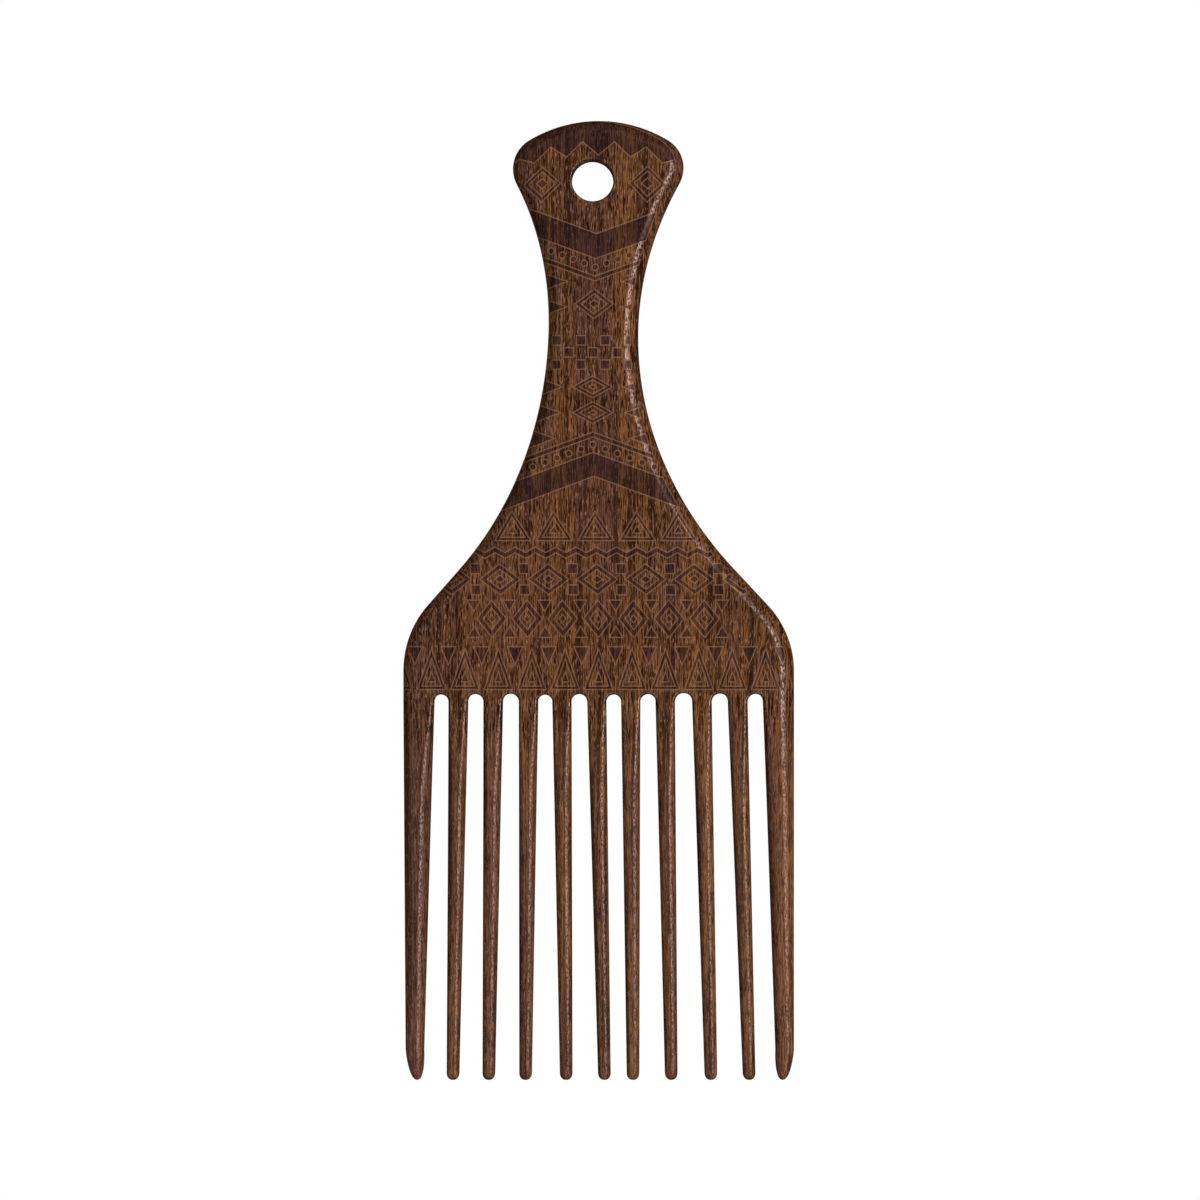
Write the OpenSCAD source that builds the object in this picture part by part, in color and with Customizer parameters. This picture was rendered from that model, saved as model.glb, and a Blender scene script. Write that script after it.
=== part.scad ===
// Wooden afro pick, cut from one board
// The pick lies on its back, with the front of the board up along +Z and the crown towards +Y.
// The origin is the middle of the pick's length and width, on the back face.

/* [Board] */
// Length from the top of the crown to the tips of the teeth
overall_len = 190; // [170:1:215]
// Thickness of the board
board_thick = 8; // [6:0.5:10]
// How far the round-over of the outer edge reaches in over the faces
edge_reach = 3.2; // [2:0.1:4]
// Flat strip left along the middle of the outer edge
edge_land = 0.8; // [0.4:0.1:2]

/* [Crown] */
// Width of the crown at its widest
crown_w = 33.8; // [30:0.2:38]
// Radius of the arc across the top of the crown
crown_top_r = 26.6; // [23:0.2:34]
// Radius of the crown's two corners
crown_corner_r = 6.5; // [5:0.5:8]

/* [Hanging hole] */
// Diameter of the hanging hole
hole_d = 8.2; // [5:0.1:11]
// Distance from the top of the crown down to the middle of the hole
hole_drop = 12; // [9:0.1:16]
// How far the hole lies to the left of the centre line
hole_shift = 1.2; // [0:0.1:3]
// Radius of the round-over at the mouths of the hole
hole_rim_r = 0.5; // [0.2:0.1:1]

/* [Grip] */
// Width of the grip at the waist
waist_w = 17.8; // [14:0.2:22]
// Distance from the top of the crown down to the waist
waist_drop = 41.4; // [36:0.2:47]
// How far the grip bows to the left of the centre line
grip_bow = 1.2; // [0:0.1:2]

/* [Head] */
// Width of the head across the outer teeth
head_w = 77.4; // [72:0.2:84]
// Steepest slope of the flare's sides, in degrees away from the centre line
flare_angle = 42.2; // [37:0.1:46]
// Radius of the shoulders
shoulder_r = 19.3; // [12:0.1:28]
// Distance from the top of the crown down to the foot of the shoulders
shoulder_drop = 108.9; // [106:0.1:112]
// Distance from the top of the crown down to the round ends of the slots
slot_drop = 113.5; // [111:0.1:120]

/* [Teeth] */
// Number of teeth, with the two outer ones
tooth_count = 11; // [7:1:13]
// Width of an inner tooth at its root
tooth_root_w = 3.8; // [3:0.1:4.6]
// Width of an inner tooth at its tip
tooth_tip_w = 2.5; // [1.6:0.1:3.6]
// Width of an outer tooth at its root
guard_root_w = 6.1; // [5:0.1:8]
// Width of an outer tooth at its tip
guard_tip_w = 3.5; // [2.4:0.1:5]
// Thickness of the teeth at their tips
tip_thick = 3.2; // [2:0.1:5]
// Radius of the round-over at the slot ends and tooth roots
slot_rim_r = 0.6; // [0.2:0.1:0.8]
// Length over which a tooth turns from square to round below its root
rounding_len = 18; // [8:1:30]
// Length of the rounded nose of an inner tooth
nose_len = 1.4; // [0.8:0.1:4]
// Length of the rounded nose of an outer tooth
guard_nose_len = 6; // [2:0.5:12]
// How far the nose of an outer tooth leans towards the other teeth
guard_nose_lean = 0.5; // [0:0.1:1]

/* [Hidden] */
// Steps along each stretch of the outline
crown_steps = 6;
corner_steps = 10;
grip_steps = 8;
flare_steps = 12;
shoulder_steps = 8;
// Steps around one rounded corner of a section
corner_facets = 4;
// Rings along the rounding of a tooth and along its nose
rounding_rings = 5;
nose_rings = 4;
// The nose ends in a small flat at this angle
nose_end_angle = 78;
// Share of half a tooth's width that its roundest corners take up
full_round_share = 0.94;
// Share of a tooth's half thickness that a corner may take up
depth_limit_share = 0.94;
// Extra length of every cutter beyond the wood
overrun = 1;

// Hand-cut unevenness: how far each tooth strays to the right, as a share of one slot's width
root_stray_shares = [0, -0.06, -0.06, -0.03, -0.12, -0.12, -0.18, -0.2, -0.08, -0.02, 0];
tip_stray_shares = [0.1, 0.06, 0.02, 0.02, 0.18, 0.24, -0.1, -0.04, 0.08, 0.14, 0];

// Heights along the pick, measured from its middle
top_y = overall_len / 2;
tip_y = -overall_len / 2;
slot_root_w = slot_width(guard_root_w, tooth_root_w);
root_drop = slot_drop + slot_root_w / 2;
root_y = top_y - root_drop;
half_thick = board_thick / 2;
hole_x = -hole_shift;
hole_y = top_y - hole_drop;

wood = [0.37, 0.24, 0.17];
tooth_wood = [0.39, 0.27, 0.2];

function mix(a, b, share) = a + (b - a) * share;

function tooth_name(i) =
    i == 0 ? "guard_tooth_left" : i == tooth_count - 1 ? "guard_tooth_right" : str("tooth_", i);

function is_guard(i) = i == 0 || i == tooth_count - 1;

// Width of one slot, where the outer and inner teeth have the given widths
function slot_width(guard_w, tooth_w) =
    (head_w - 2 * guard_w - (tooth_count - 2) * tooth_w) / (tooth_count - 1);

// Outline of one half of the crown and grip, as [half width, drop, normal across, normal up]
corner_x = crown_w / 2 - crown_corner_r;
crown_angle = acos(corner_x / (crown_top_r - crown_corner_r));
corner_drop = crown_top_r - (crown_top_r - crown_corner_r) * sin(crown_angle);
// The grip's hollow arc touches the crown's corner arc and stands upright at the waist
grip_across = waist_w / 2 - corner_x;
grip_down = waist_drop - corner_drop;
grip_r = (grip_down ^ 2 + grip_across ^ 2 - crown_corner_r ^ 2) / (2 * (crown_corner_r - grip_across));
grip_angle = asin(grip_down / (grip_r + crown_corner_r));

handle_half = concat(
    [for (k = [0 : crown_steps])
        let (a = mix(90, crown_angle, k / crown_steps))
        [crown_top_r * cos(a), crown_top_r * (1 - sin(a)), cos(a), sin(a)]],
    [for (k = [1 : corner_steps])
        let (a = mix(crown_angle, -grip_angle, k / corner_steps))
        [corner_x + crown_corner_r * cos(a), corner_drop - crown_corner_r * sin(a), cos(a), sin(a)]],
    [for (k = [1 : grip_steps])
        let (a = mix(grip_angle, 0, k / grip_steps))
        [waist_w / 2 + grip_r * (1 - cos(a)), waist_drop - grip_r * sin(a), cos(a), -sin(a)]]
);

// The flare's hollow arc runs out to a straight stretch at the flare's slope, which the shoulder's
// arc turns into the upright side. The hollow arc takes the radius that makes the three meet.
head_across = (head_w - waist_w) / 2;
head_down = shoulder_drop - waist_drop;
both_arcs_r = (head_down * sin(flare_angle) - head_across * cos(flare_angle)) / (1 - cos(flare_angle));
flare_r = both_arcs_r - shoulder_r;

head_half = concat(
    [for (k = [0 : flare_steps])
        let (a = flare_angle * k / flare_steps)
        [waist_w / 2 + flare_r * (1 - cos(a)), waist_drop + flare_r * sin(a), cos(a), sin(a)]],
    [for (k = [0 : shoulder_steps])
        let (a = flare_angle * (1 - k / shoulder_steps))
        [head_w / 2 - shoulder_r * (1 - cos(a)), shoulder_drop - shoulder_r * sin(a), cos(a), sin(a)]],
    [[head_w / 2, root_drop, 1, 0]]
);

// The grip bows to one side between the top of the crown and the foot of the shoulders
function bow(drop) = drop < shoulder_drop ? -grip_bow * sin(180 * drop / shoulder_drop) ^ 2 : 0;

// Half of a section's edge, front to back, as [distance in from the edge, height from the middle].
// The corner reaches in by reach and down by depth, on a section of the given half thickness.
function edge_profile(reach, depth, half) = concat(
    [for (k = [0 : corner_facets])
        let (a = 90 * k / corner_facets)
        [reach * (1 - sin(a)), half - depth * (1 - cos(a))]],
    [for (k = [corner_facets : -1 : 0])
        let (a = 90 * k / corner_facets)
        [reach * (1 - sin(a)), depth * (1 - cos(a)) - half]]
);

outer_edge = edge_profile(edge_reach, half_thick - edge_land / 2, half_thick);

// Points of the rounded edge at one place of the outline, on the right (side 1) or left (side -1)
function edge_points(place, side) =
    [for (p = outer_edge)
        let (drop = place[1] + p[0] * place[3])
        [side * (place[0] - p[0] * place[2]) + bow(drop), top_y - drop, half_thick + p[1]]];

// Faces of a board whose edge strips run up the right side and down the left.
// The two strips meet at the top place, or end at a flat cut when cut_top is true.
function board_faces(places, strip, cut_top) =
    let (half = floor(places / 2))
    concat(
        [for (s = [0 : places - 2], p = [0 : strip - 2]) if (!(cut_top && s == half - 1))
            each [
                [s * strip + p, (s + 1) * strip + p, (s + 1) * strip + p + 1],
                [s * strip + p, (s + 1) * strip + p + 1, s * strip + p + 1]
            ]],
        [for (s = [0 : half - 1])
            let (far = places - 1 - s)
            each far - s > 2 || (cut_top && far - s > 1)
                ? [
                    [s * strip, far * strip, (far - 1) * strip],
                    [s * strip, (far - 1) * strip, (s + 1) * strip],
                    [(s + 1) * strip - 1, far * strip - 1, (far + 1) * strip - 1],
                    [(s + 1) * strip - 1, (s + 2) * strip - 1, far * strip - 1]
                ]
                : far - s == 2
                ? [
                    [s * strip, far * strip, (s + 1) * strip],
                    [(s + 1) * strip - 1, (s + 2) * strip - 1, (far + 1) * strip - 1]
                ]
                : []],
        [[for (p = [0 : strip - 1]) p,
            for (p = [strip - 1 : -1 : 0]) (places - 1) * strip + p]],
        cut_top
            ? [[for (p = [0 : strip - 1]) half * strip + p,
                for (p = [strip - 1 : -1 : 0]) (half - 1) * strip + p]]
            : []
    );

module board(half_outline, cut_top) {
    last = len(half_outline) - 1;
    right = [for (k = [last : -1 : 0]) edge_points(half_outline[k], 1)];
    left = [for (k = [cut_top ? 0 : 1 : last]) edge_points(half_outline[k], -1)];
    strips = concat(right, left);
    polyhedron(
        [for (strip = strips) each strip],
        board_faces(len(strips), len(outer_edge), cut_top)
    );
}

// Round cutter through the board, with mouths that round over the edges of its hole
module round_cutter(r, rim_r) {
    mouth = [for (p = edge_profile(rim_r, rim_r, half_thick)) [r + p[0], half_thick - p[1]]];
    rotate_extrude()
        polygon(concat(
            [[0, -overrun], [r + rim_r, -overrun]],
            mouth,
            [[r + rim_r, board_thick + overrun], [0, board_thick + overrun]]
        ));
}

module handle() {
    color(wood)
        difference() {
            board(handle_half, false);
            translate([hole_x, hole_y, 0]) round_cutter(hole_d / 2, hole_rim_r);
        }
}

// Place of a tooth's middle across the head
function tooth_x(i, guard_w, tooth_w, stray_shares) =
    let (
        slot_w = slot_width(guard_w, tooth_w),
        last = tooth_count - 1,
        even_x = i == 0 ? (guard_w - head_w) / 2
            : i == last ? (head_w - guard_w) / 2
            : guard_w - head_w / 2 + slot_w * i + tooth_w * (i - 0.5),
        stray_share = i == last ? stray_shares[len(stray_shares) - 1] : stray_shares[i % len(stray_shares)]
    )
    even_x + slot_w * stray_share;

function root_w(i) = is_guard(i) ? guard_root_w : tooth_root_w;
function tip_w(i) = is_guard(i) ? guard_tip_w : tooth_tip_w;
function root_x(i) = tooth_x(i, guard_root_w, tooth_root_w, root_stray_shares);
function tip_x(i) = tooth_x(i, guard_tip_w, tooth_tip_w, tip_stray_shares);

module head() {
    color(wood)
        difference() {
            board(head_half, true);
            for (i = [0 : tooth_count - 2]) {
                from = root_x(i) + root_w(i) / 2;
                to = root_x(i + 1) - root_w(i + 1) / 2;
                translate([(from + to) / 2, root_y, 0]) round_cutter((to - from) / 2, slot_rim_r);
            }
        }
}

// One ring of a tooth. along goes from 0 at the root to 1 at the tip, and swell from 1 on the
// tooth's shaft down to almost 0 at the end of its nose.
function tooth_ring(i, y, along, swell, lean) =
    let (
        w = mix(root_w(i), tip_w(i), along) * swell,
        half = mix(half_thick, tip_thick / 2, along) * swell,
        round_share = min(1, along * (root_y - tip_y) / rounding_len),
        full = w / 2 * full_round_share,
        slot_side = edge_profile(
            mix(min(slot_rim_r, full), full, round_share),
            min(mix(min(slot_rim_r, full), full, round_share), half * depth_limit_share),
            half
        ),
        guard_side = edge_profile(
            min(mix(edge_reach, full, round_share), w * full_round_share - slot_rim_r * swell),
            half - edge_land / 2 * swell * half / half_thick,
            half
        ),
        x = mix(root_x(i), tip_x(i), along) + lean,
        right = i == tooth_count - 1 ? guard_side : slot_side,
        left = i == 0 ? guard_side : slot_side
    )
    concat(
        [for (p = right) [x + w / 2 - p[0], y, half_thick + p[1]]],
        [for (k = [len(left) - 1 : -1 : 0]) [x - w / 2 + left[k][0], y, half_thick + left[k][1]]]
    );

module tooth(i) {
    span = root_y - tip_y;
    nose = is_guard(i) ? guard_nose_len : nose_len;
    lean = i == 0 ? guard_nose_lean : i == tooth_count - 1 ? -guard_nose_lean : 0;
    shaft = [for (k = [0 : rounding_rings]) k / rounding_rings * rounding_len];
    rings = concat(
        [for (d = shaft) tooth_ring(i, root_y - d, d / span, 1, 0)],
        [for (k = [0 : nose_rings])
            let (
                a = nose_end_angle * k / nose_rings,
                reach = sin(a) / sin(nose_end_angle),
                y = tip_y + nose * (1 - reach)
            )
            tooth_ring(i, y, (root_y - y) / span, cos(a), lean * reach)]
    );
    ring_len = len(rings[0]);
    color(tooth_wood)
        polyhedron(
            [for (ring = rings) each ring],
            concat(
                [[for (p = [ring_len - 1 : -1 : 0]) p]],
                [for (r = [0 : len(rings) - 2], p = [0 : ring_len - 1])
                    let (q = (p + 1) % ring_len, here = r * ring_len, next = (r + 1) * ring_len)
                    each [[here + p, here + q, next + q], [here + p, next + q, next + p]]],
                [[for (p = [0 : ring_len - 1]) (len(rings) - 1) * ring_len + p]]
            )
        );
}

handle();
head();
for (i = [0 : tooth_count - 1])
    tooth(i);
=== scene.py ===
import math

import bmesh
import bpy
from mathutils import Matrix, Vector


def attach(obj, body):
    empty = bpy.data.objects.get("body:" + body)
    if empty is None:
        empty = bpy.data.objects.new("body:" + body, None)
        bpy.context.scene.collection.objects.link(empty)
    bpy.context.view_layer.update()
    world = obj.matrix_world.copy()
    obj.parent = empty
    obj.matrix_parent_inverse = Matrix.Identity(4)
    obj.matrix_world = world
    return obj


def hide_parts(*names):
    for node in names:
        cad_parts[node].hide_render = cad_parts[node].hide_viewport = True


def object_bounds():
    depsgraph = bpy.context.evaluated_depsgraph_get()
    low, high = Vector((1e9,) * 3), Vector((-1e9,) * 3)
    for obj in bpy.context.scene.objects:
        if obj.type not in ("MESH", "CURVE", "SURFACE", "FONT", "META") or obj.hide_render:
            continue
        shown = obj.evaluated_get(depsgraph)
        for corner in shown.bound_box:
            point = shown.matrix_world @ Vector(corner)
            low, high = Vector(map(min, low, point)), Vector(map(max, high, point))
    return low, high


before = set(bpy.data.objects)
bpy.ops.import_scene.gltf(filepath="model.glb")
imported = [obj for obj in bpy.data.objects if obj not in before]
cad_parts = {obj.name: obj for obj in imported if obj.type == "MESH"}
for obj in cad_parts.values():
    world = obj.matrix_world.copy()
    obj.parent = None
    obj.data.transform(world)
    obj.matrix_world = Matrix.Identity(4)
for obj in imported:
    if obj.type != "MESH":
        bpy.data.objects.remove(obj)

cad_low, cad_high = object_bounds()

# Meshes are drawn in millimetres around the middle of the board's thickness, then made metres
MM = 0.001
top_y = cad_high.y / MM
tip_y = cad_low.y / MM
head_w = (cad_high.x - cad_low.x) / MM
board_thick = (cad_high.z - cad_low.z) / MM
half_thick = board_thick / 2

# The board: its sizes are drops from the top of the crown, widths and radii
edge_reach = 3.2
edge_land = 0.8
crown_w = 33.8
crown_top_r = 26.6
crown_corner_r = 6.5
hole_d = 8.2
hole_drop = 12
hole_shift = 1.2
hole_rim_r = 0.5
waist_w = 17.8
waist_drop = 41.4
grip_bow = 1.2
flare_angle = math.radians(42.2)
shoulder_r = 19.3
shoulder_drop = 108.9
slot_drop = 113.5
slot_rim_r = 0.6

# The teeth: their widths and thickness, and how they round over from root to nose
tooth_count = 11
tooth_root_w = 3.8
tooth_tip_w = 2.5
guard_root_w = 6.1
guard_tip_w = 3.5
tip_thick = 3.2
rounding_len = 18
nose_len = 1.4
guard_nose_len = 6
guard_nose_lean = 0.5
nose_blunting = 0.85
full_round_share = 0.94

# How far each tooth strays from an even pitch at its root and tip, as shares of a slot's width
root_strays = [0, -0.06, -0.06, -0.03, -0.12, -0.12, -0.18, -0.2, -0.08, -0.02, 0]
tip_strays = [0.1, 0.06, 0.02, 0.02, 0.18, 0.24, -0.1, -0.04, 0.08, 0.14, 0]

# How finely the shapes are stepped
crown_steps = 16
corner_steps = 28
grip_steps = 24
flare_steps = 32
run_steps = 6
shoulder_steps = 20
side_steps = 3
slot_steps = 24
hole_steps = 72
rim_steps = 12
rim_crowding = 1.4
rounding_rings = 9
shaft_rings = 6
nose_rings = 9
nose_end_angle = math.radians(88)

# Vertices this near to a cut lie on it, and mirrored ones this near are joined, in millimetres
cut_dist = 1e-5
weld_dist = 1e-4

# Faces more level than the limit are shaded flat, and edges sharper than the crease stay sharp
flat_limit = 0.9999
crease_angle = math.radians(32)

# The engraving: its outlines are scored lightly and its fields are cut deeper
line_w = 0.24
line_depth = 0.06
field_depth = 0.15

# The engraver's tool starts at this height above the board's middle, and its area lies off to the left
tool_low = 1.2
area_shift = 1.5
overrun = 1

# The rows of the engraving follow the round top of the crown, and are level from this drop on
cap_fade = 14

# Chevrons bend down to the middle of the board, roofs bend up, and dots run beside both
chevron_reach = 19
chevron_bend = 7
chevron_slope = chevron_bend / chevron_reach
dot_w = 1.5
pointer_w = 6

# How many sides the stamped shapes have
TRIANGLE = 3
LOZENGE = 4
DOT = 16

# Material slots of every piece
WOOD, SCORED, ENGRAVED = range(3)


def mix(first, second, share):
    """A number between two others, or a socket if any of the three is one."""
    return first + (second - first) * share


def slot_width(guard_w, tooth_w):
    """Width of a slot where the teeth are this wide and evenly spaced."""
    return (head_w - 2 * guard_w - (tooth_count - 2) * tooth_w) / (tooth_count - 1)


def is_guard(i):
    return i in (0, tooth_count - 1)


def root_w(i):
    return guard_root_w if is_guard(i) else tooth_root_w


def tip_w(i):
    return guard_tip_w if is_guard(i) else tooth_tip_w


def tooth_x(i, guard_w, tooth_w, strays):
    """Place of a tooth's middle across the head."""
    slot_w = slot_width(guard_w, tooth_w)
    if i == 0:
        even = (guard_w - head_w) / 2
    elif i == tooth_count - 1:
        even = (head_w - guard_w) / 2
    else:
        even = guard_w - head_w / 2 + slot_w * i + tooth_w * (i - 0.5)
    return even + slot_w * strays[i]


def root_x(i):
    return tooth_x(i, guard_root_w, tooth_root_w, root_strays)


def tip_x(i):
    return tooth_x(i, guard_tip_w, tooth_tip_w, tip_strays)


root_drop = slot_drop + slot_width(guard_root_w, tooth_root_w) / 2
root_y = top_y - root_drop

# Arcs of the outline, which touch one another
corner_x = crown_w / 2 - crown_corner_r
crown_angle = math.acos(corner_x / (crown_top_r - crown_corner_r))
corner_drop = crown_top_r - (crown_top_r - crown_corner_r) * math.sin(crown_angle)
grip_across = waist_w / 2 - corner_x
grip_down = waist_drop - corner_drop
grip_r = (grip_down**2 + grip_across**2 - crown_corner_r**2) / (2 * (crown_corner_r - grip_across))
grip_angle = math.asin(grip_down / (grip_r + crown_corner_r))
head_across = (head_w - waist_w) / 2
head_down = shoulder_drop - waist_drop
both_arcs_r = (
    head_down * math.sin(flare_angle) - head_across * math.cos(flare_angle)
) / (1 - math.cos(flare_angle))
flare_r = both_arcs_r - shoulder_r
flare_x = waist_w / 2 + flare_r
shoulder_x = head_w / 2 - shoulder_r

# Quarter turns of a rounded edge, from the outline up to the face, closer together near the face
rim_angles = [math.pi / 2 * (1 - k / rim_steps) ** rim_crowding for k in range(rim_steps + 1)]


def bow(y):
    """How far the grip bows to the left at this height."""
    drop = top_y - y
    return -grip_bow * math.sin(math.pi * drop / shoulder_drop) ** 2 if 0 < drop < shoulder_drop else 0


def rim_point(reach, depth, half, angle, sink=0):
    """Distance in from the outline and height above the middle on a rounded edge.
    The corner reaches in by reach and down by depth, and sink lowers the whole surface."""
    across, up = math.sin(angle) / reach, math.cos(angle) / depth
    size = math.hypot(across, up)
    return (
        reach * (1 - math.sin(angle)) + sink * across / size,
        half - depth * (1 - math.cos(angle)) - sink * up / size,
    )


def add_object(name, data):
    """Puts an object with this data into the scene."""
    made = bpy.data.objects.new(name, data)
    bpy.context.scene.collection.objects.link(made)
    return made


def ring_edges(mesh, ring):
    """The edges between neighbours on a closed ring of vertices."""
    return [mesh.edges.get(pair) for pair in zip(ring, ring[1:] + ring[:1])]


def extrude_ring(mesh, ring):
    """Extrudes a closed ring of vertices and gives the new ring in the same order."""
    made = bmesh.ops.extrude_edge_only(mesh, edges=ring_edges(mesh, ring))["geom"]
    fresh = {v for v in made if isinstance(v, bmesh.types.BMVert)}
    return [
        next(e.other_vert(v) for e in v.link_edges if e.other_vert(v) in fresh) for v in ring
    ]


def cap_ring(mesh, ring):
    """Closes a ring of vertices with one face."""
    bmesh.ops.contextual_create(mesh, geom=ring_edges(mesh, ring))


class Pen:
    """Draws an outline clockwise as a wire: a spin makes each arc, an extrusion each straight run.
    Beside each vertex it keeps the direction that leads into the wood."""

    def __init__(self, mesh, x, drop):
        self.mesh = mesh
        self.ring = [mesh.verts.new((x, top_y - drop, 0))]
        self.inward = [Vector((0, -1, 0))]

    def arc(self, x, drop, turn, steps):
        centre = Vector((x, top_y - drop, 0))
        side = 1 if turn > 0 else -1
        self.inward[-1] = (self.ring[-1].co - centre).normalized() * side
        for _ in range(steps):
            made = bmesh.ops.spin(
                self.mesh, geom=[self.ring[-1]], cent=centre, axis=(0, 0, 1), angle=turn / steps, steps=1
            )
            self.ring.append(made["geom_last"][0])
            self.inward.append((self.ring[-1].co - centre).normalized() * side)

    def line(self, x, drop, steps):
        start, end = self.ring[-1].co.copy(), Vector((x, top_y - drop, 0))
        ahead = (end - start).normalized()
        self.inward[-1] = Vector((ahead.y, -ahead.x, 0))
        for step in range(steps):
            self.ring.append(bmesh.ops.extrude_vert_indiv(self.mesh, verts=[self.ring[-1]])["verts"][0])
            self.ring[-1].co = start.lerp(end, (step + 1) / steps)
            self.inward.append(self.inward[-1])

    def close(self):
        bmesh.ops.pointmerge(self.mesh, verts=[self.ring[0], self.ring[-1]], merge_co=self.ring[0].co)
        self.ring.pop()
        self.inward.pop()
        self.mesh.verts.ensure_lookup_table()


def outline(mesh):
    """Outline of the crown, grip and head down to the roots of the teeth, as a pen that has drawn it."""
    flare_end = flare_x - flare_r * math.cos(flare_angle), waist_drop + flare_r * math.sin(flare_angle)
    shoulder_top = (
        shoulder_x + shoulder_r * math.cos(flare_angle),
        shoulder_drop - shoulder_r * math.sin(flare_angle),
    )
    arcs = [
        (0, crown_top_r, crown_angle - math.pi / 2, crown_steps),
        (corner_x, corner_drop, -crown_angle - grip_angle, corner_steps),
        (waist_w / 2 + grip_r, waist_drop, grip_angle, grip_steps),
        (flare_x, waist_drop, flare_angle, flare_steps),
    ]
    pen = Pen(mesh, 0, 0)
    for arc in arcs:
        pen.arc(*arc)
    pen.line(*shoulder_top, run_steps)
    pen.arc(shoulder_x, shoulder_drop, -flare_angle, shoulder_steps)
    pen.line(head_w / 2, root_drop, side_steps)
    for i in range(tooth_count - 2, -1, -1):
        left = root_x(i) + root_w(i) / 2
        right = root_x(i + 1) - root_w(i + 1) / 2
        pen.line(right, root_drop, 1)
        pen.inward[-2] = Vector((-1, 0, 0))
        pen.arc((left + right) / 2, root_drop, math.pi, slot_steps)
    pen.line(-head_w / 2, root_drop, 1)
    pen.inward[-2] = Vector((-1, 0, 0))
    pen.line(-head_w / 2, shoulder_drop, side_steps)
    pen.arc(-shoulder_x, shoulder_drop, -flare_angle, shoulder_steps)
    pen.line(-flare_end[0], flare_end[1], run_steps)
    for x, drop, turn, steps in reversed(arcs):
        pen.arc(-x, drop, turn, steps)
    pen.close()
    return pen


def board(sink, index):
    """The crown, grip and head as one closed shell, sunk below the real surface by sink."""
    mesh = bmesh.new()
    pen = outline(mesh)
    feet = [v.co.copy() for v in pen.ring]
    slots_reach = head_w / 2 - guard_root_w / 2
    slots_top = root_y + head_w / tooth_count
    rims = []
    for foot in feet:
        on_slot = abs(foot.x) < slots_reach and foot.y < slots_top
        rims.append((slot_rim_r, slot_rim_r) if on_slot else (edge_reach, half_thick - edge_land / 2))
    ring = pen.ring
    for v, foot, inward in zip(ring, feet, pen.inward):
        v.co = foot + inward * sink
    for angle in rim_angles:
        ring = extrude_ring(mesh, ring)
        for v, foot, inward, (reach, depth) in zip(ring, feet, pen.inward, rims):
            inset, height = rim_point(reach, depth, half_thick, angle, sink)
            v.co = foot + inward * inset
            v.co.z = height
    cap_ring(mesh, ring)
    bow_mesh(mesh)
    everything = mesh.verts[:] + mesh.edges[:] + mesh.faces[:]
    bmesh.ops.mirror(mesh, geom=everything, matrix=Matrix.Identity(4), merge_dist=weld_dist, axis="Z")
    return solid("board", mesh, index)


def bow_mesh(mesh):
    """Bends a mesh to the left as the grip bows."""
    for v in mesh.verts:
        v.co.x += bow(v.co.y)


def solid(name, mesh, index):
    """Finishes a mesh drawn in millimetres as an object for carving, all of one material slot."""
    bmesh.ops.recalc_face_normals(mesh, faces=mesh.faces)
    for face in mesh.faces:
        face.material_index = index
    data = bpy.data.meshes.new(name)
    for _ in (WOOD, SCORED, ENGRAVED):
        data.materials.append(None)
    mesh.to_mesh(data)
    mesh.free()
    return add_object(name, data)


def carve(body, tool, operation):
    """Cuts the tool away from the body, or keeps what both share, and removes the tool."""
    modifier = body.modifiers.new("carve", "BOOLEAN")
    modifier.operation = operation
    modifier.solver = "MANIFOLD"
    modifier.object = tool
    depsgraph = bpy.context.evaluated_depsgraph_get()
    body_after = bpy.data.meshes.new_from_object(body.evaluated_get(depsgraph))
    body.modifiers.clear()
    body.data = body_after
    bpy.data.objects.remove(tool)


def fit(verts, left, right, low, high):
    """Stretches flat vertices to fill a rectangle."""
    xs, ys = [v.co.x for v in verts], [v.co.y for v in verts]
    for v in verts:
        v.co.x = mix(left, right, (v.co.x - min(xs)) / (max(xs) - min(xs)))
        v.co.y = mix(low, high, (v.co.y - min(ys)) / (max(ys) - min(ys)))


def stamp(mesh, sides, x, drop, width, height, turn=0):
    """A flat shape with that many sides, width and height. Gives its face."""
    made = bmesh.ops.create_circle(
        mesh, cap_ends=True, segments=sides, radius=1, matrix=Matrix.Rotation(math.radians(turn), 4, "Z")
    )["verts"]
    face = made[0].link_faces[0]
    y = top_y - drop
    fit(made, x - width / 2, x + width / 2, y - height / 2, y + height / 2)
    return face


def nest(mesh, face, rim, gap):
    """Turns a shape into a rim with a smaller shape of its own inside it, set apart by a gap."""
    for width in (rim, gap):
        ring = bmesh.ops.inset_region(
            mesh, faces=[face], thickness=width, use_even_offset=True, use_boundary=True
        )["faces"]
    bmesh.ops.delete(mesh, geom=ring, context="FACES_ONLY")
    loose = [e for e in mesh.edges if not e.link_faces]
    bmesh.ops.delete(mesh, geom=loose, context="EDGES")


def band(mesh, drop, thick, columns, top_dip, bottom_dip, reach):
    """A band across the board. Its two borders dip at every other column, which makes
    zigzags, saw teeth and chevrons."""
    made = bmesh.ops.create_grid(mesh, x_segments=columns, y_segments=1, size=1)["verts"]
    y = top_y - drop
    fit(made, -reach, reach, y - thick, y)
    pitch = 2 * reach / columns
    for v in made:
        if round((v.co.x + reach) / pitch) % 2:
            v.co.y -= top_dip if v.co.y > y - thick / 2 else bottom_dip


def chevron(mesh, drop, thick, bend):
    """A band that bends down to the board's middle, or up to it if bend is negative."""
    band(mesh, drop, thick, columns=2, top_dip=bend, bottom_dip=bend, reach=chevron_reach)


def evenly(count, pitch):
    """Where that many motifs lie across the board, evenly about its middle."""
    return [(k - (count - 1) / 2) * pitch for k in range(count)]


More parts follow.
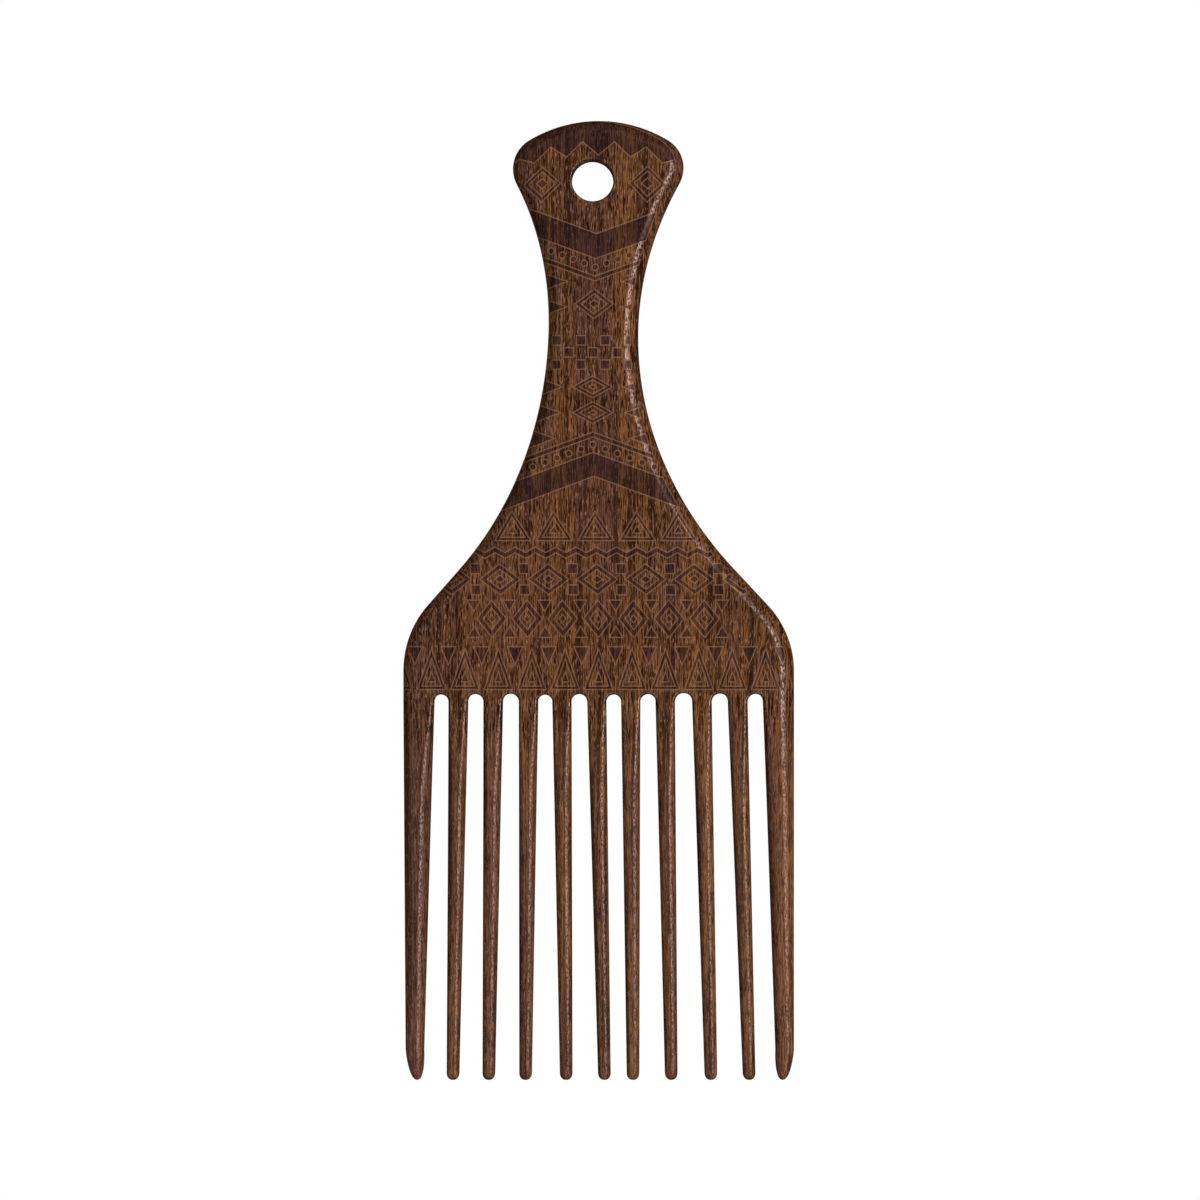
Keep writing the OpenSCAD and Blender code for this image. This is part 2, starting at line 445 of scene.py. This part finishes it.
def dots(mesh, count, pitch, drop, slope):
    """A bent row of dots, which drops by slope on its way out from the middle."""
    for x in evenly(count, pitch):
        stamp(mesh, DOT, x, drop + slope * abs(x), width=dot_w, height=dot_w)


def square(mesh, x, drop, size):
    """A lozenge turned until its sides are upright and level."""
    stamp(mesh, LOZENGE, x, drop, width=size, height=size, turn=45)


def pointers(mesh, x, drop, height):
    """A triangle on each side of the board, both pointing at its middle."""
    for side in (-1, 1):
        stamp(mesh, TRIANGLE, side * x, drop, width=pointer_w, height=height, turn=90 * side)


def engraving():
    """The flat fields of the engraving, with their outlines still inside them."""
    mesh = bmesh.new()
    crown_pattern(mesh)
    grip_pattern(mesh)
    head_pattern(mesh)
    border_pattern(mesh)
    for v in mesh.verts:
        drop = top_y - v.co.y
        sag = crown_top_r - math.sqrt(crown_top_r**2 - min(abs(v.co.x), crown_w / 2) ** 2)
        v.co.y -= sag * max(0, 1 - max(0, drop) / cap_fade)
        v.co.x += bow(v.co.y)
    return mesh


def crown_pattern(mesh):
    """A saw-edged cap, a nested lozenge on each side of the hole and two chevrons with dots between."""
    band(mesh, drop=-4, thick=8.4, columns=14, top_dip=0, bottom_dip=2.8, reach=22)
    lozenge_spread = 10.4
    for side in (-1, 1):
        x = side * lozenge_spread - hole_shift / 2
        nest(mesh, stamp(mesh, LOZENGE, x, drop=12.4, width=7.6, height=8.2), rim=1, gap=0.8)
    chevron(mesh, drop=15.4, thick=5.2, bend=chevron_bend)
    dots(mesh, count=11, pitch=2.2, drop=29.2, slope=-chevron_slope)
    chevron(mesh, drop=23.8, thick=1.2, bend=chevron_bend)


def grip_pattern(mesh):
    """Lozenges down the middle with triangles that point at them, and a chequered strip."""
    nest(mesh, stamp(mesh, LOZENGE, 0, drop=36.4, width=8, height=6.2), rim=1, gap=0.7)
    for drop in (32, 37):
        pointers(mesh, x=8, drop=drop, height=4.2)
    chequer_drop = 43.6
    chequer_pitch = 2.4
    for line in range(3):
        for k, x in enumerate(evenly(count=9, pitch=chequer_pitch)):
            if (line + k) % 2:
                square(mesh, x, chequer_drop + line * chequer_pitch, size=2.1)
    for drop in (52.8, 57.9):
        nest(mesh, stamp(mesh, LOZENGE, 0, drop, width=8.4, height=4.6), rim=0.9, gap=0.6)
    for x, drop in ((8.6, 52.8), (9, 57.9), (10.2, 63)):
        pointers(mesh, x, drop, height=4.4)


def head_pattern(mesh):
    """Two roofs with dots between, then rows of triangles, zigzag and lozenges."""
    chevron(mesh, drop=68.6, thick=1.2, bend=-chevron_bend)
    dots(mesh, count=13, pitch=2.4, drop=64.2, slope=chevron_slope)
    chevron(mesh, drop=72.6, thick=5, bend=-chevron_bend)
    for x in evenly(count=5, pitch=8.2):
        nest(mesh, stamp(mesh, TRIANGLE, x, drop=80.2, width=7.6, height=6.2), rim=0.9, gap=0.6)
    band(mesh, drop=84.3, thick=1.4, columns=36, top_dip=1.1, bottom_dip=1.1, reach=36)

    wide_drop = 90.8
    wide_pitch = 9.6
    for x in evenly(count=7, pitch=wide_pitch):
        nest(mesh, stamp(mesh, LOZENGE, x, wide_drop, width=8.4, height=6.4), rim=1.1, gap=0.7)
    for x in evenly(count=6, pitch=wide_pitch):
        for offset in (-2.1, 2.1):
            square(mesh, x, wide_drop + offset, size=2.2)

    narrow_drop = 98.6
    narrow_pitch = 7
    for x in evenly(count=7, pitch=narrow_pitch):
        nest(mesh, stamp(mesh, LOZENGE, x, narrow_drop, width=6.2, height=7.8), rim=1.2, gap=0.6)
    for x in evenly(count=8, pitch=narrow_pitch):
        for offset, turn in ((-2.5, 180), (2.5, 0)):
            stamp(mesh, TRIANGLE, x, narrow_drop + offset, width=3, height=2.6, turn=turn)


def border_pattern(mesh):
    """A row of upright nested triangles over the slots, with small ones hanging between them."""
    border_pitch = 6.6
    for x in evenly(count=13, pitch=border_pitch):
        nest(mesh, stamp(mesh, TRIANGLE, x, drop=108.4, width=6, height=8.6), rim=0.9, gap=0.6)
    for x in evenly(count=12, pitch=border_pitch):
        stamp(mesh, TRIANGLE, x, drop=106, width=3.4, height=4, turn=180)


def prisms(mesh, low, high, index):
    """Raises the flat faces of a mesh to closed prisms."""
    for v in mesh.verts:
        v.co.z = low
    flat = mesh.faces[:] + mesh.edges[:]
    made = bmesh.ops.extrude_face_region(mesh, geom=flat, use_keep_orig=True)["geom"]
    for v in made:
        if isinstance(v, bmesh.types.BMVert):
            v.co.z = high
    return solid("prisms", mesh, index)


def engraved_area(inset, index):
    """The part of the board that the engraving covers, which lies a little to the left of the board."""
    mesh = bmesh.new()
    pen = outline(mesh)
    for v, inward in zip(pen.ring, pen.inward):
        v.co += inward * inset
    cap_ring(mesh, pen.ring)
    bow_mesh(mesh)
    for v in mesh.verts:
        v.co.x -= area_shift
    return prisms(mesh, tool_low - overrun, half_thick + 2 * overrun, index)


def engraving_tool(inset, depth, index):
    """What the engraver takes away: the fields, each made smaller by inset, down to an even depth."""
    mesh = engraving()
    if inset:
        rims = bmesh.ops.inset_region(
            mesh, faces=mesh.faces[:], thickness=inset, use_even_offset=True, use_boundary=True
        )["faces"]
        bmesh.ops.delete(mesh, geom=rims, context="FACES")
    tool = prisms(mesh, tool_low, half_thick + overrun, index)
    carve(tool, engraved_area(inset, index), "INTERSECT")
    carve(tool, board(depth, index), "DIFFERENCE")
    return tool


def hole_tool():
    """Drill with mouths that round over the rims of the hanging hole."""
    radius = hole_d / 2
    mouth = [rim_point(hole_rim_r, hole_rim_r, half_thick, angle) for angle in reversed(rim_angles)]
    levels = [(hole_rim_r, half_thick + overrun)] + mouth
    levels += [(inset, -height) for inset, height in reversed(levels)]
    centre = Vector((-hole_shift, top_y - hole_drop, 0))
    mesh = bmesh.new()
    first = bmesh.ops.create_circle(mesh, segments=hole_steps, radius=1)["verts"]
    outward = [v.co.copy() for v in first]
    ring = first
    for k, (inset, height) in enumerate(levels):
        if k:
            ring = extrude_ring(mesh, ring)
        for v, direction in zip(ring, outward):
            v.co = centre + direction * (radius + inset)
            v.co.z = height
    cap_ring(mesh, first)
    cap_ring(mesh, ring)
    return solid("drill", mesh, WOOD)


def lay_tooth_ring(ring, i, y, swell, lean):
    """Places one ring of a tooth: square with soft corners at the root, round further down.
    Swell is the share of its full section that the ring has, and lean moves it sideways."""
    along = (root_y - y) / (root_y - tip_y)
    width = mix(root_w(i), tip_w(i), along) * swell
    half = mix(half_thick, tip_thick / 2, along) * swell
    round_share = min(1, (root_y - y) / rounding_len)
    full = width / 2 * full_round_share
    slot_reach = mix(min(slot_rim_r, full), full, round_share)
    slot_side = slot_reach, min(slot_reach, half * full_round_share)
    guard_side = (
        min(mix(edge_reach, full, round_share), width * full_round_share - slot_rim_r * swell),
        half - edge_land / 2 * swell * half / half_thick,
    )
    right = guard_side if i == tooth_count - 1 else slot_side
    left = guard_side if i == 0 else slot_side
    middle = mix(root_x(i), tip_x(i), along) + lean
    quarters = [(1, 1, right, 1), (1, -1, right, -1), (-1, -1, left, 1), (-1, 1, left, -1)]
    places = []
    for side, front, (reach, depth), order in quarters:
        for angle in rim_angles[::-order]:
            inset, height = rim_point(reach, depth, half, angle)
            places.append((middle + side * (width / 2 - inset), y, front * height))
    for v, place in zip(ring, places):
        v.co = place


def tooth(i):
    """One tooth, drawn ring by ring from its root to its nose."""
    mesh = bmesh.new()
    nose = guard_nose_len if is_guard(i) else nose_len
    lean = guard_nose_lean * (1 if i == 0 else -1 if i == tooth_count - 1 else 0)
    shaft_end = tip_y + nose
    stations = [(root_y - rounding_len * k / rounding_rings, 1, 0) for k in range(rounding_rings + 1)]
    rounded_y = root_y - rounding_len
    stations += [(mix(rounded_y, shaft_end, k / shaft_rings), 1, 0) for k in range(1, shaft_rings + 1)]
    for k in range(1, nose_rings + 1):
        angle = nose_end_angle * k / nose_rings
        reach = math.sin(angle) / math.sin(nose_end_angle)
        stations.append((shaft_end - nose * reach, math.cos(angle) ** nose_blunting, lean * reach))
    first = bmesh.ops.create_circle(mesh, segments=4 * (rim_steps + 1), radius=1)["verts"]
    ring = first
    lay_tooth_ring(ring, i, *stations[0])
    for station in stations[1:]:
        ring = extrude_ring(mesh, ring)
        lay_tooth_ring(ring, i, *station)
    cap_ring(mesh, first)
    cap_ring(mesh, ring)
    return solid(tooth_name(i), mesh, WOOD)


def tooth_name(i):
    return {0: "guard_tooth_left", tooth_count - 1: "guard_tooth_right"}.get(i, f"tooth_{i}")


def cut_at(source, name, y, keep_above):
    """A copy of the carved board above or below a straight cut, closed again at the cut."""
    mesh = bmesh.new()
    mesh.from_mesh(source.data)
    everything = mesh.verts[:] + mesh.edges[:] + mesh.faces[:]
    cut = bmesh.ops.bisect_plane(
        mesh,
        geom=everything,
        dist=cut_dist,
        plane_co=(0, y, 0),
        plane_no=(0, 1, 0),
        clear_inner=keep_above,
        clear_outer=not keep_above,
    )["geom_cut"]
    bmesh.ops.contextual_create(mesh, geom=[e for e in cut if isinstance(e, bmesh.types.BMEdge)])
    data = source.data.copy()
    mesh.to_mesh(data)
    mesh.free()
    return add_object(name, data)


def finish_piece(piece, node, finishes):
    """Makes a piece metres, lays it on its back, shades it and lets it stand for its CAD node."""
    mesh = bmesh.new()
    mesh.from_mesh(piece.data)
    bmesh.ops.translate(mesh, verts=mesh.verts, vec=(0, 0, half_thick))
    bmesh.ops.scale(mesh, verts=mesh.verts, vec=(MM, MM, MM))
    mesh.normal_update()
    for face in mesh.faces:
        face.smooth = abs(face.normal.z) < flat_limit
    for edge in mesh.edges:
        edge.smooth = edge.is_manifold and edge.calc_face_angle(0) < crease_angle
    mesh.to_mesh(piece.data)
    mesh.free()
    worked = {face.material_index for face in piece.data.polygons}
    for k in (ENGRAVED, SCORED, WOOD):
        if k in worked:
            piece.data.materials[k] = finishes[k]
        else:
            piece.data.materials.pop(index=k)
    piece.name = f"carved_{node}"
    piece.data.name = piece.name
    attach(piece, "root")
    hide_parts(node)


class Value:
    """A socket of a finish's node tree. Arithmetic on it adds Math nodes."""

    def __init__(self, finish, socket):
        self.finish = finish
        self.socket = socket

    def math(self, operation, first, second):
        return self.finish.node("ShaderNodeMath", {"operation": operation}, {0: first, 1: second})

    def __add__(self, other):
        return self.math("ADD", self, other)

    def __radd__(self, other):
        return self.math("ADD", other, self)

    def __sub__(self, other):
        return self.math("SUBTRACT", self, other)

    def __rsub__(self, other):
        return self.math("SUBTRACT", other, self)

    def __mul__(self, other):
        return self.math("MULTIPLY", self, other)

    def __rmul__(self, other):
        return self.math("MULTIPLY", other, self)


class Finish:
    """A material and the nodes that make it."""

    def __init__(self, name):
        self.material = bpy.data.materials.new(name)
        self.material.use_nodes = True
        self.tree = self.material.node_tree
        self.tree.nodes.clear()

    def node(self, kind, settings=None, sockets=None, out=0):
        """Adds a node, sets its settings first and then its sockets, and gives one of its outputs."""
        made = self.tree.nodes.new(kind)
        for key, value in (settings or {}).items():
            setattr(made, key, value)
        for key, value in (sockets or {}).items():
            if isinstance(value, Value):
                self.tree.links.new(value.socket, made.inputs[key])
            else:
                made.inputs[key].default_value = value
        return Value(self, made.outputs[out]) if len(made.outputs) else None

    def blend(self, first, second, share):
        """A colour between two others."""
        settings = {"data_type": "RGBA"}
        return self.node("ShaderNodeMix", settings, {0: share, 6: first, 7: second}, out=2)

    def step(self, value, low, high):
        """0 below low, 1 above high and a smooth rise between them, or a fall if low is the larger."""
        settings = {"interpolation_type": "SMOOTHSTEP"}
        if low < high:
            return self.node("ShaderNodeMapRange", settings, {0: value, 1: low, 2: high})
        return 1 - self.node("ShaderNodeMapRange", settings, {0: value, 1: high, 2: low})


def tone(red, green, blue):
    """A colour as seen on a screen, 0 to 255, made linear."""
    parts = [c / 255 for c in (red, green, blue)]
    return (*[c / 12.92 if c <= 0.04045 else ((c + 0.055) / 1.055) ** 2.4 for c in parts], 1)


# Tones of the wood, of what the engraver leaves on it and of its polish
golden_dark = tone(50, 22, 4)
golden_light = tone(142, 93, 54)
red_dark = tone(40, 15, 4)
red_light = tone(120, 77, 58)
pore_brown = tone(26, 11, 4)
fleck_tan = tone(180, 132, 100)
stain_brown = tone(46, 26, 33)
scored_tan = tone(150, 110, 84)
dusty_brown = tone(108, 79, 67)
polish_pink = tone(250, 212, 202)

# Noises of the grain: what each weighs, and where their sum turns from dark to light
coarse_share = 0.14
middle_share = 0.43
fine_share = 0.43
grain_dark = 0.44
grain_light = 0.56

# How strongly the layers, the slow drift, the flecks and the pores show in the colour
layer_strength = 0.8
drift_strength = 0.7
fleck_strength = 0.5
pore_strength = 0.7

# Relief of the grain, and how deep it is at most
grain_relief = 0.5
fine_relief = 0.3
pore_relief = 0.6
layer_relief = 0.3
bump_strength = 0.5
bump_depth = 0.026

# How far the grain wanders and ripples sideways
wander_reach = 2
ripple_reach = 0.25

# Bare wood is dull. Its polish is a weak mirror over it, faint all over and stronger where it tilts
bare_roughness = 0.6
polish_roughness = 0.42
shine_all_over = 0.004
shine_where_tilted = 0.01

# Where a surface is polished, by how upright its normal is
polish_from = 0.998
polish_full = 0.975
polish_fading = 0.93
polish_gone = 0.82

# The grain is calmer on upright edges than on faces, and changes as the normal turns between the two
edge_calm = 0.45
edge_upright = 0.15
face_upright = 0.65

# The teeth are sanded smoother than the board, and the change takes this length below their roots
sanding_len = 12
sanded_contrast = 0.8
sanded_shade = 1
sanded_polish = 0.076
sanded_dust = 0.15


def wood(name, contrast, shade, polish, tint, tint_share):
    """Close straight-grained wood along the board. Contrast is how strong its grain is, shade how
    bright it is, polish how much its tilted parts shine, and tint_share how far it is tinted."""
    finish = Finish(name)
    place = finish.node("ShaderNodeTexCoord", out="Object")

    def noise(across, along, through, detail, shift, at):
        """Noise in blotches of these three lengths, in millimetres. Its shift sets it off from the rest."""
        scale = [1 / (size * MM) for size in (across, along, through)]
        sockets = {0: at, 1: scale, 2: (shift, shift, shift)}
        stretched = finish.node("ShaderNodeVectorMath", {"operation": "MULTIPLY_ADD"}, sockets)
        sockets = {"Vector": stretched, "Scale": 1, "Detail": detail}
        return finish.node("ShaderNodeTexNoise", sockets=sockets)

    # The grain runs along the board and sways a little
    wander = noise(across=14, along=55, through=20, detail=2, shift=3.1, at=place) - 0.5
    ripple = noise(across=3, along=7, through=5, detail=1, shift=17.3, at=place) - 0.5
    sway = wander * (wander_reach * MM) + ripple * (ripple_reach * MM)
    sideways = finish.node("ShaderNodeCombineXYZ", sockets={0: sway})
    waved = finish.node("ShaderNodeVectorMath", {"operation": "ADD"}, {0: place, 1: sideways})

    def streaks(**size):
        """Noise that sways with the grain."""
        return noise(**size, at=waved)

    def patches(low, high, **size):
        """Streaks with borders, which rise from low to high, or fall if low is the larger."""
        return finish.step(streaks(**size), low, high)

    # Broad zones, layers and drift
    zones = patches(across=4, along=110, through=9, detail=2, shift=11.7, low=0.36, high=0.62)
    layers = patches(across=0.9, along=60, through=2.6, detail=2, shift=5.3, low=0.47, high=0.37)
    drift = streaks(across=1.5, along=70, through=4, detail=1, shift=91.3) - 0.5

    # Close grain, flecks, pores and the specks of the shine
    coarse = streaks(across=0.32, along=20, through=1.2, detail=1, shift=23.9)
    middle = streaks(across=0.14, along=5, through=0.6, detail=0, shift=31.7)
    fine = streaks(across=0.13, along=1.6, through=0.3, detail=1, shift=53.3)
    flecks = patches(across=0.16, along=1.2, through=0.4, detail=0, shift=41.3, low=0.64, high=0.78)
    pores = patches(across=0.16, along=2.6, through=0.4, detail=0, shift=67.1, low=0.62, high=0.76)
    specks = patches(across=0.2, along=0.6, through=0.2, detail=0, shift=83.9, low=0.42, high=0.62)

    # Below the roots the wood becomes the sanded wood of the teeth
    along_board = finish.node("ShaderNodeSeparateXYZ", sockets={0: place}, out="Y")
    sanded = finish.step(along_board, root_y * MM, (root_y - sanding_len) * MM)
    contrast = mix(contrast, sanded_contrast, sanded)
    shade = mix(shade, sanded_shade, sanded)
    polish = mix(polish, sanded_polish, sanded)
    tint_share = mix(tint_share, sanded_dust, sanded)

    # Colour
    normal = finish.node("ShaderNodeTexCoord", out="Normal")
    upright = finish.node("ShaderNodeSeparateXYZ", sockets={0: normal}, out="Z")
    facing = finish.node("ShaderNodeMath", {"operation": "ABSOLUTE"}, {0: upright})
    vivid = (edge_calm + (1 - edge_calm) * finish.step(facing, edge_upright, face_upright)) * contrast
    grain_sum = coarse * coarse_share + middle * middle_share + fine * fine_share
    grain = 0.5 + (finish.step(grain_sum, grain_dark, grain_light) - 0.5) * vivid
    darker = finish.blend(red_dark, golden_dark, zones)
    lighter = finish.blend(red_light, golden_light, zones)
    lightness = grain * (1 - layers * layer_strength) + drift * drift_strength
    colour = finish.blend(darker, lighter, lightness)
    colour = finish.blend(colour, fleck_tan, flecks * vivid * fleck_strength)
    colour = finish.blend(colour, pore_brown, pores * vivid * pore_strength)
    colour = finish.node("ShaderNodeVectorMath", {"operation": "SCALE"}, {0: colour, "Scale": shade})
    colour = finish.blend(colour, tint, tint_share)

    # Relief
    height = grain * grain_relief + fine * fine_relief - pores * pore_relief - layers * layer_relief
    sockets = {"Strength": bump_strength, "Distance": bump_depth * MM, "Height": height}
    bump = finish.node("ShaderNodeBump", sockets=sockets)

    # Shine: rubbed edges catch the light in specks
    past_flat = finish.step(upright, polish_from, polish_full)
    not_steep = finish.step(upright, polish_gone, polish_fading)
    tilted = past_flat * not_steep
    shine = shine_all_over + tilted * (shine_where_tilted + specks * polish)
    dull = {"Base Color": colour, "Roughness": bare_roughness, "Specular IOR Level": 0, "Normal": bump}
    bare = finish.node("ShaderNodeBsdfPrincipled", sockets=dull)
    mirror = {"Base Color": polish_pink, "Metallic": 1, "Roughness": polish_roughness, "Normal": bump}
    polished = finish.node("ShaderNodeBsdfPrincipled", sockets=mirror)
    shader = finish.node("ShaderNodeMixShader", sockets={0: shine, 1: bare, 2: polished})
    finish.node("ShaderNodeOutputMaterial", sockets={"Surface": shader})
    return finish.material


close_grained = wood(
    "close_grained_wood", contrast=1.35, shade=0.83, polish=0.125, tint=dusty_brown, tint_share=0
)
scored = wood("scored_outline", contrast=1, shade=1, polish=0.08, tint=scored_tan, tint_share=0.48)
engraved = wood("engraved_field", contrast=1, shade=0.56, polish=0.02, tint=stain_brown, tint_share=0.32)

# Carving: the outlines are scored first, then the fields inside them are cut, then the hole is drilled
pick_board = board(sink=0, index=WOOD)
carve(pick_board, engraving_tool(inset=0, depth=line_depth, index=SCORED), "DIFFERENCE")
carve(pick_board, engraving_tool(inset=line_w, depth=field_depth, index=ENGRAVED), "DIFFERENCE")
carve(pick_board, hole_tool(), "DIFFERENCE")

# The board is cut at the waist, because its handle and its head are two nodes of the CAD
waist_y = top_y - waist_drop
finishes = [close_grained, scored, engraved]
handle = cut_at(pick_board, "handle_half", waist_y, keep_above=True)
head = cut_at(pick_board, "head_half", waist_y, keep_above=False)
bpy.data.objects.remove(pick_board)
finish_piece(handle, "handle", finishes)
finish_piece(head, "head", finishes)
for i in range(tooth_count):
    finish_piece(tooth(i), tooth_name(i), finishes)


# Studio: a white floor that rises into a wall all round, five soft boxes and a dim room, in metres
floor_gap = 0.05 * MM
floor_r = 3
wall_r = 0.3
wall_top = 0.7
wall_steps = 10
round_steps = 48
floor_weld_dist = 1e-5

# What the floor gives back of the light on it, and how it looks to the camera and in reflections
floor_grey = 0.6
floor_glow = 1.02
floor_seen = 0.97
room_light = 0.17


def studio_floor():
    """The floor and its wall: half a section of both is drawn, then spun round the pick."""
    mesh = bmesh.new()
    centre = mesh.verts.new((0, 0, -floor_gap))
    foot = bmesh.ops.extrude_vert_indiv(mesh, verts=[centre])["verts"][0]
    foot.co.x = floor_r
    bmesh.ops.spin(
        mesh,
        geom=[foot],
        cent=(floor_r, 0, wall_r - floor_gap),
        axis=(0, 1, 0),
        angle=-math.pi / 2,
        steps=wall_steps,
    )
    mesh.verts.ensure_lookup_table()
    top = bmesh.ops.extrude_vert_indiv(mesh, verts=[mesh.verts[-1]])["verts"][0]
    top.co.z = wall_top
    bmesh.ops.spin(
        mesh,
        geom=mesh.verts[:] + mesh.edges[:],
        cent=(0, 0, 0),
        axis=(0, 0, 1),
        angle=2 * math.pi,
        steps=round_steps,
        use_merge=True,
    )
    bmesh.ops.remove_doubles(mesh, verts=mesh.verts, dist=floor_weld_dist)
    bmesh.ops.recalc_face_normals(mesh, faces=mesh.faces)
    if sum(face.normal.z for face in mesh.faces) < 0:
        bmesh.ops.reverse_faces(mesh, faces=mesh.faces)
    data = bpy.data.meshes.new("studio_floor")
    mesh.to_mesh(data)
    mesh.free()
    data.materials.append(studio_white())
    add_object("studio_floor", data)


def studio_white():
    """White to the camera and in reflections, with a little of the light that falls on it, so that
    the pick's shadow stays. From below it is clear, and it lets the lamp under it light the back."""
    finish = Finish("studio_white")
    grey = (floor_grey, floor_grey, floor_grey, 1)
    diffuse = finish.node("ShaderNodeBsdfDiffuse", sockets={"Color": grey})
    glow = finish.node("ShaderNodeEmission", sockets={"Color": (1, 1, 1, 1), "Strength": floor_glow})
    to_camera = finish.node("ShaderNodeLightPath", out="Is Camera Ray")
    to_gloss = finish.node("ShaderNodeLightPath", out="Is Glossy Ray")
    through_glass = finish.node("ShaderNodeLightPath", out="Is Transmission Ray")
    seen = (to_camera + to_gloss + through_glass) * floor_seen
    lit = finish.node("ShaderNodeMixShader", sockets={0: seen, 1: diffuse, 2: glow})
    clear = finish.node("ShaderNodeBsdfTransparent")
    below = finish.node("ShaderNodeNewGeometry", out="Backfacing")
    shadow = finish.node("ShaderNodeLightPath", out="Is Shadow Ray")
    open_share = finish.node("ShaderNodeMath", {"operation": "MAXIMUM"}, {0: below, 1: shadow})
    both = finish.node("ShaderNodeMixShader", sockets={0: open_share, 1: lit, 2: clear})
    finish.node("ShaderNodeOutputMaterial", sockets={"Surface": both})
    return finish.material


def soft_box(name, azimuth, tilt, distance, across, along, power):
    """A rectangular lamp aimed at the pick. Azimuth 0 is to the right and tilt is off the vertical,
    both in degrees. Its size and distance are in metres and its power in watts."""
    lamp = bpy.data.lights.new(name, "AREA")
    lamp.shape = "RECTANGLE"
    lamp.size = across
    lamp.size_y = along
    lamp.energy = power
    made = add_object(name, lamp)
    turn = Matrix.Rotation(math.radians(azimuth), 4, "Z") @ Matrix.Rotation(math.radians(tilt), 4, "Y")
    made.matrix_world = turn @ Matrix.Translation((0, 0, distance))
    made.visible_camera = False


studio_floor()
soft_box("key_box", azimuth=4, tilt=27, distance=1.3, across=0.75, along=0.38, power=14)
soft_box("left_box", azimuth=180, tilt=66, distance=1.4, across=0.7, along=1.2, power=0.8)
soft_box("top_box", azimuth=90, tilt=62, distance=1.4, across=0.6, along=1.2, power=1.2)
soft_box("bottom_box", azimuth=-90, tilt=62, distance=1.4, across=0.6, along=1.2, power=1.2)
soft_box("under_box", azimuth=0, tilt=180, distance=1.3, across=0.8, along=0.8, power=12)

room = bpy.data.worlds.new("dim_room")
bpy.context.scene.world = room
room.use_nodes = True
background = room.node_tree.nodes["Background"]
background.inputs["Color"].default_value = (1, 1, 1, 1)
background.inputs["Strength"].default_value = room_light

# The camera looks straight down on the middle of the picture, which lies beside the board's middle
picture_w = 237.8 * MM
picture_x = 0.26 * MM
picture_y = 0.1 * MM
camera_distance = 1.2
lens_data = bpy.data.cameras.new("camera")
lens_data.lens = lens_data.sensor_width * camera_distance / picture_w
camera = add_object("camera", lens_data)
camera.location = (picture_x, picture_y, half_thick * MM + camera_distance)
bpy.context.scene.camera = camera
bpy.context.scene.view_settings.view_transform = "Standard"
